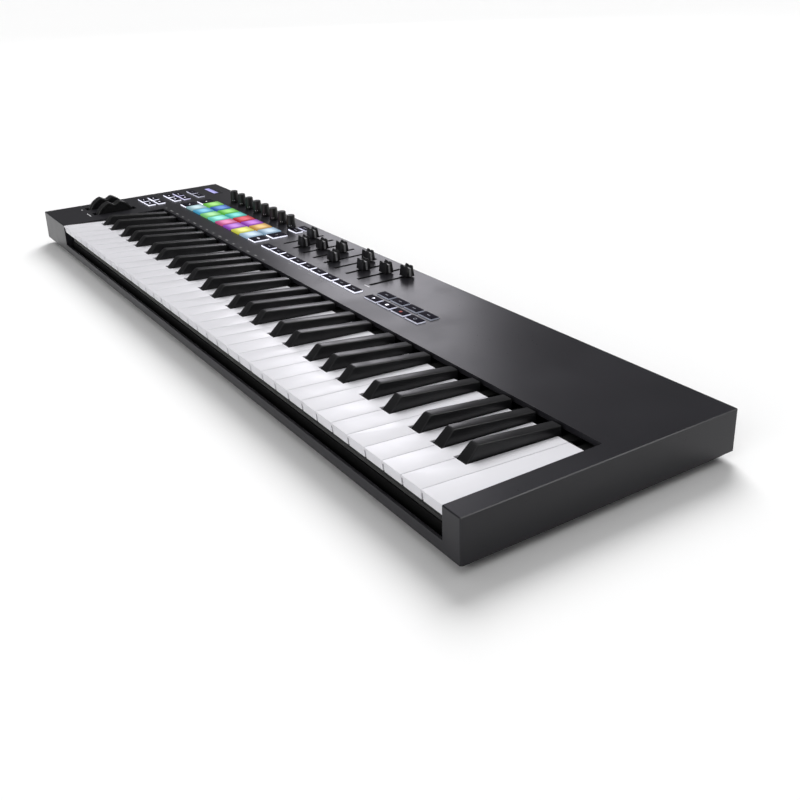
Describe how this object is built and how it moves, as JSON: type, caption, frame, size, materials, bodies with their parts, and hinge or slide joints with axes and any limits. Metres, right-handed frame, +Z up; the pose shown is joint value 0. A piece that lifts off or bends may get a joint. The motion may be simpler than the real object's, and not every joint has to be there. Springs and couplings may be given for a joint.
{
  "type": "keyboard controller",
  "caption": "Flat keyboard controller: piano-style keys in a front well, thumb wheels, lit square pads, knobs, faders and rows of buttons on a dark level deck.",
  "frame": {"origin": "centre of the footprint, on the plane of the feet's undersides", "axes": "+X along the keys towards the highest note, +Y from the player towards the rear, +Z up"},
  "size_m": [0.9596, 0.256, 0.0598],
  "materials": {
    "black_abs": "satin moulded",
    "black_satin": "satin",
    "white_key": "polished",
    "black_key": "satin",
    "pad_silicone": "translucent, lit from below",
    "button_silicone": "matte, with lit edge lines",
    "circuit_board": "solder mask",
    "steel": "plated",
    "felt": "felt",
    "rubber": "matte",
    "display_glass": "lit panel under a clear lens",
    "chassis_abs": "moulded"
  },
  "bodies": {
    "case": {"top_case": "black_abs", "bottom_tray": "black_abs", "foot_front_left": "rubber", "foot_front_right": "rubber", "foot_rear_left": "rubber", "foot_rear_right": "rubber", "keybed_chassis": "chassis_abs", "key_contact_board": "circuit_board", "contact_rubber": "rubber", "key_stop_felt": "felt", "wheel_bracket": "steel", "display_lens": "display_glass", "panel_board": "circuit_board", "main_board": "circuit_board", "usb_socket": "steel", "midi_socket": "black_satin", "pedal_jack": "black_satin"},
    "white_keys_cegb_1": {"white_keys_cegb_1": "white_key"},
    "white_keys_dfa_1": {"white_keys_dfa_1": "white_key"},
    "black_keys_1": {"black_keys_1": "black_key"},
    "white_keys_cegb_2": {"white_keys_cegb_2": "white_key"},
    "white_keys_dfa_2": {"white_keys_dfa_2": "white_key"},
    "black_keys_2": {"black_keys_2": "black_key"},
    "white_keys_cegb_3": {"white_keys_cegb_3": "white_key"},
    "white_keys_dfa_3": {"white_keys_dfa_3": "white_key"},
    "black_keys_3": {"black_keys_3": "black_key"},
    "white_keys_cegb_4": {"white_keys_cegb_4": "white_key"},
    "white_keys_dfa_4": {"white_keys_dfa_4": "white_key"},
    "black_keys_4": {"black_keys_4": "black_key"},
    "white_keys_cegb_5": {"white_keys_cegb_5": "white_key"},
    "white_keys_dfa_5": {"white_keys_dfa_5": "white_key"},
    "black_keys_5": {"black_keys_5": "black_key"},
    "white_key_top_c": {"white_key_top_c": "white_key"},
    "pitch_wheel": {"pitch_wheel": "black_satin"},
    "mod_wheel": {"mod_wheel": "black_satin"},
    "knob_1": {"knob_1": "black_satin"},
    "knob_2": {"knob_2": "black_satin"},
    "knob_3": {"knob_3": "black_satin"},
    "knob_4": {"knob_4": "black_satin"},
    "knob_5": {"knob_5": "black_satin"},
    "knob_6": {"knob_6": "black_satin"},
    "knob_7": {"knob_7": "black_satin"},
    "knob_8": {"knob_8": "black_satin"},
    "fader_1": {"fader_1": "black_satin"},
    "fader_2": {"fader_2": "black_satin"},
    "fader_3": {"fader_3": "black_satin"},
    "fader_4": {"fader_4": "black_satin"},
    "fader_5": {"fader_5": "black_satin"},
    "fader_6": {"fader_6": "black_satin"},
    "fader_7": {"fader_7": "black_satin"},
    "fader_8": {"fader_8": "black_satin"},
    "fader_9": {"fader_9": "black_satin"},
    "pads": {"pads": "pad_silicone"},
    "left_keypad_front": {"left_keypad_front": "button_silicone"},
    "left_keypad_rear": {"left_keypad_rear": "button_silicone"},
    "pad_buttons_left": {"pad_buttons_left": "button_silicone"},
    "pad_buttons_right": {"pad_buttons_right": "button_silicone"},
    "device_buttons": {"device_buttons": "button_silicone"},
    "fader_buttons": {"fader_buttons": "button_silicone"},
    "transport_buttons": {"transport_buttons": "button_silicone"}
  },
  "joints": [
    {"name": "white_keys_cegb_1_press", "type": "hinge", "parent": "case", "child": "white_keys_cegb_1", "pos_m": [0, 0.022, 0.0301], "axis": [1, 0, 0], "range_deg": [0, 3.8], "stiffness_Nm_per_rad": 1, "springref_deg": -17.19},
    {"name": "white_keys_dfa_1_press", "type": "hinge", "parent": "case", "child": "white_keys_dfa_1", "pos_m": [0, 0.022, 0.0301], "axis": [1, 0, 0], "range_deg": [0, 3.8], "stiffness_Nm_per_rad": 1, "springref_deg": -17.19},
    {"name": "black_keys_1_press", "type": "hinge", "parent": "case", "child": "black_keys_1", "pos_m": [0, 0.022, 0.0301], "axis": [1, 0, 0], "range_deg": [0, 3.8], "stiffness_Nm_per_rad": 1, "springref_deg": -17.19},
    {"name": "white_keys_cegb_2_press", "type": "hinge", "parent": "case", "child": "white_keys_cegb_2", "pos_m": [0, 0.022, 0.0301], "axis": [1, 0, 0], "range_deg": [0, 3.8], "stiffness_Nm_per_rad": 1, "springref_deg": -17.19},
    {"name": "white_keys_dfa_2_press", "type": "hinge", "parent": "case", "child": "white_keys_dfa_2", "pos_m": [0, 0.022, 0.0301], "axis": [1, 0, 0], "range_deg": [0, 3.8], "stiffness_Nm_per_rad": 1, "springref_deg": -17.19},
    {"name": "black_keys_2_press", "type": "hinge", "parent": "case", "child": "black_keys_2", "pos_m": [0, 0.022, 0.0301], "axis": [1, 0, 0], "range_deg": [0, 3.8], "stiffness_Nm_per_rad": 1, "springref_deg": -17.19},
    {"name": "white_keys_cegb_3_press", "type": "hinge", "parent": "case", "child": "white_keys_cegb_3", "pos_m": [0, 0.022, 0.0301], "axis": [1, 0, 0], "range_deg": [0, 3.8], "stiffness_Nm_per_rad": 1, "springref_deg": -17.19},
    {"name": "white_keys_dfa_3_press", "type": "hinge", "parent": "case", "child": "white_keys_dfa_3", "pos_m": [0, 0.022, 0.0301], "axis": [1, 0, 0], "range_deg": [0, 3.8], "stiffness_Nm_per_rad": 1, "springref_deg": -17.19},
    {"name": "black_keys_3_press", "type": "hinge", "parent": "case", "child": "black_keys_3", "pos_m": [0, 0.022, 0.0301], "axis": [1, 0, 0], "range_deg": [0, 3.8], "stiffness_Nm_per_rad": 1, "springref_deg": -17.19},
    {"name": "white_keys_cegb_4_press", "type": "hinge", "parent": "case", "child": "white_keys_cegb_4", "pos_m": [0, 0.022, 0.0301], "axis": [1, 0, 0], "range_deg": [0, 3.8], "stiffness_Nm_per_rad": 1, "springref_deg": -17.19},
    {"name": "white_keys_dfa_4_press", "type": "hinge", "parent": "case", "child": "white_keys_dfa_4", "pos_m": [0, 0.022, 0.0301], "axis": [1, 0, 0], "range_deg": [0, 3.8], "stiffness_Nm_per_rad": 1, "springref_deg": -17.19},
    {"name": "black_keys_4_press", "type": "hinge", "parent": "case", "child": "black_keys_4", "pos_m": [0, 0.022, 0.0301], "axis": [1, 0, 0], "range_deg": [0, 3.8], "stiffness_Nm_per_rad": 1, "springref_deg": -17.19},
    {"name": "white_keys_cegb_5_press", "type": "hinge", "parent": "case", "child": "white_keys_cegb_5", "pos_m": [0, 0.022, 0.0301], "axis": [1, 0, 0], "range_deg": [0, 3.8], "stiffness_Nm_per_rad": 1, "springref_deg": -17.19},
    {"name": "white_keys_dfa_5_press", "type": "hinge", "parent": "case", "child": "white_keys_dfa_5", "pos_m": [0, 0.022, 0.0301], "axis": [1, 0, 0], "range_deg": [0, 3.8], "stiffness_Nm_per_rad": 1, "springref_deg": -17.19},
    {"name": "black_keys_5_press", "type": "hinge", "parent": "case", "child": "black_keys_5", "pos_m": [0, 0.022, 0.0301], "axis": [1, 0, 0], "range_deg": [0, 3.8], "stiffness_Nm_per_rad": 1, "springref_deg": -17.19},
    {"name": "white_key_top_c_press", "type": "hinge", "parent": "case", "child": "white_key_top_c", "pos_m": [0, 0.022, 0.0301], "axis": [1, 0, 0], "range_deg": [0, 3.8], "stiffness_Nm_per_rad": 0.4, "springref_deg": -17.19},
    {"name": "pitch_wheel_turn", "type": "hinge", "parent": "case", "child": "pitch_wheel", "pos_m": [-0.45275, -0.0488, 0.0313], "axis": [-1, 0, 0], "range_deg": [-30, 30], "stiffness_Nm_per_rad": 0.06},
    {"name": "mod_wheel_turn", "type": "hinge", "parent": "case", "child": "mod_wheel", "pos_m": [-0.41875, -0.0488, 0.0313], "axis": [-1, 0, 0], "range_deg": [-30, 30]},
    {"name": "knob_1_turn", "type": "hinge", "parent": "case", "child": "knob_1", "pos_m": [-0.35345, 0.102, 0.0441], "axis": [0, 0, -1], "range_deg": [-150, 150]},
    {"name": "knob_2_turn", "type": "hinge", "parent": "case", "child": "knob_2", "pos_m": [-0.32915, 0.102, 0.0441], "axis": [0, 0, -1], "range_deg": [-150, 150]},
    {"name": "knob_3_turn", "type": "hinge", "parent": "case", "child": "knob_3", "pos_m": [-0.30485, 0.102, 0.0441], "axis": [0, 0, -1], "range_deg": [-150, 150]},
    {"name": "knob_4_turn", "type": "hinge", "parent": "case", "child": "knob_4", "pos_m": [-0.28055, 0.102, 0.0441], "axis": [0, 0, -1], "range_deg": [-150, 150]},
    {"name": "knob_5_turn", "type": "hinge", "parent": "case", "child": "knob_5", "pos_m": [-0.25625, 0.102, 0.0441], "axis": [0, 0, -1], "range_deg": [-150, 150]},
    {"name": "knob_6_turn", "type": "hinge", "parent": "case", "child": "knob_6", "pos_m": [-0.23195, 0.102, 0.0441], "axis": [0, 0, -1], "range_deg": [-150, 150]},
    {"name": "knob_7_turn", "type": "hinge", "parent": "case", "child": "knob_7", "pos_m": [-0.20765, 0.102, 0.0441], "axis": [0, 0, -1], "range_deg": [-150, 150]},
    {"name": "knob_8_turn", "type": "hinge", "parent": "case", "child": "knob_8", "pos_m": [-0.18335, 0.102, 0.0441], "axis": [0, 0, -1], "range_deg": [-150, 150]},
    {"name": "fader_1_slide", "type": "slide", "parent": "case", "child": "fader_1", "axis": [0, 1, 0], "range_m": [-0.0345, 0.0098]},
    {"name": "fader_2_slide", "type": "slide", "parent": "case", "child": "fader_2", "axis": [0, 1, 0], "range_m": [-0.0095, 0.0348]},
    {"name": "fader_3_slide", "type": "slide", "parent": "case", "child": "fader_3", "axis": [0, 1, 0], "range_m": [-0.0205, 0.0238]},
    {"name": "fader_4_slide", "type": "slide", "parent": "case", "child": "fader_4", "axis": [0, 1, 0], "range_m": [-0.033, 0.0113]},
    {"name": "fader_5_slide", "type": "slide", "parent": "case", "child": "fader_5", "axis": [0, 1, 0], "range_m": [-0.008, 0.0363]},
    {"name": "fader_6_slide", "type": "slide", "parent": "case", "child": "fader_6", "axis": [0, 1, 0], "range_m": [-0.0385, 0.0058]},
    {"name": "fader_7_slide", "type": "slide", "parent": "case", "child": "fader_7", "axis": [0, 1, 0], "range_m": [-0.0175, 0.0268]},
    {"name": "fader_8_slide", "type": "slide", "parent": "case", "child": "fader_8", "axis": [0, 1, 0], "range_m": [-0.031, 0.0133]},
    {"name": "fader_9_slide", "type": "slide", "parent": "case", "child": "fader_9", "axis": [0, 1, 0], "range_m": [-0.0415, 0.0028]},
    {"name": "pads_press", "type": "slide", "parent": "case", "child": "pads", "axis": [0, 0, -1], "range_m": [0, 0.001], "stiffness_N_per_m": 1800, "springref_m": -0.0015},
    {"name": "left_keypad_front_press", "type": "slide", "parent": "case", "child": "left_keypad_front", "axis": [0, 0, -1], "range_m": [0, 0.0008], "stiffness_N_per_m": 900, "springref_m": -0.0012},
    {"name": "left_keypad_rear_press", "type": "slide", "parent": "case", "child": "left_keypad_rear", "axis": [0, 0, -1], "range_m": [0, 0.0008], "stiffness_N_per_m": 900, "springref_m": -0.0012},
    {"name": "pad_buttons_left_press", "type": "slide", "parent": "case", "child": "pad_buttons_left", "axis": [0, 0, -1], "range_m": [0, 0.0008], "stiffness_N_per_m": 900, "springref_m": -0.0012},
    {"name": "pad_buttons_right_press", "type": "slide", "parent": "case", "child": "pad_buttons_right", "axis": [0, 0, -1], "range_m": [0, 0.0008], "stiffness_N_per_m": 900, "springref_m": -0.0012},
    {"name": "device_buttons_press", "type": "slide", "parent": "case", "child": "device_buttons", "axis": [0, 0, -1], "range_m": [0, 0.0008], "stiffness_N_per_m": 900, "springref_m": -0.0012},
    {"name": "fader_buttons_press", "type": "slide", "parent": "case", "child": "fader_buttons", "axis": [0, 0, -1], "range_m": [0, 0.0008], "stiffness_N_per_m": 1200, "springref_m": -0.0012},
    {"name": "transport_buttons_press", "type": "slide", "parent": "case", "child": "transport_buttons", "axis": [0, 0, -1], "range_m": [0, 0.0008], "stiffness_N_per_m": 1000, "springref_m": -0.0012}
  ]
}
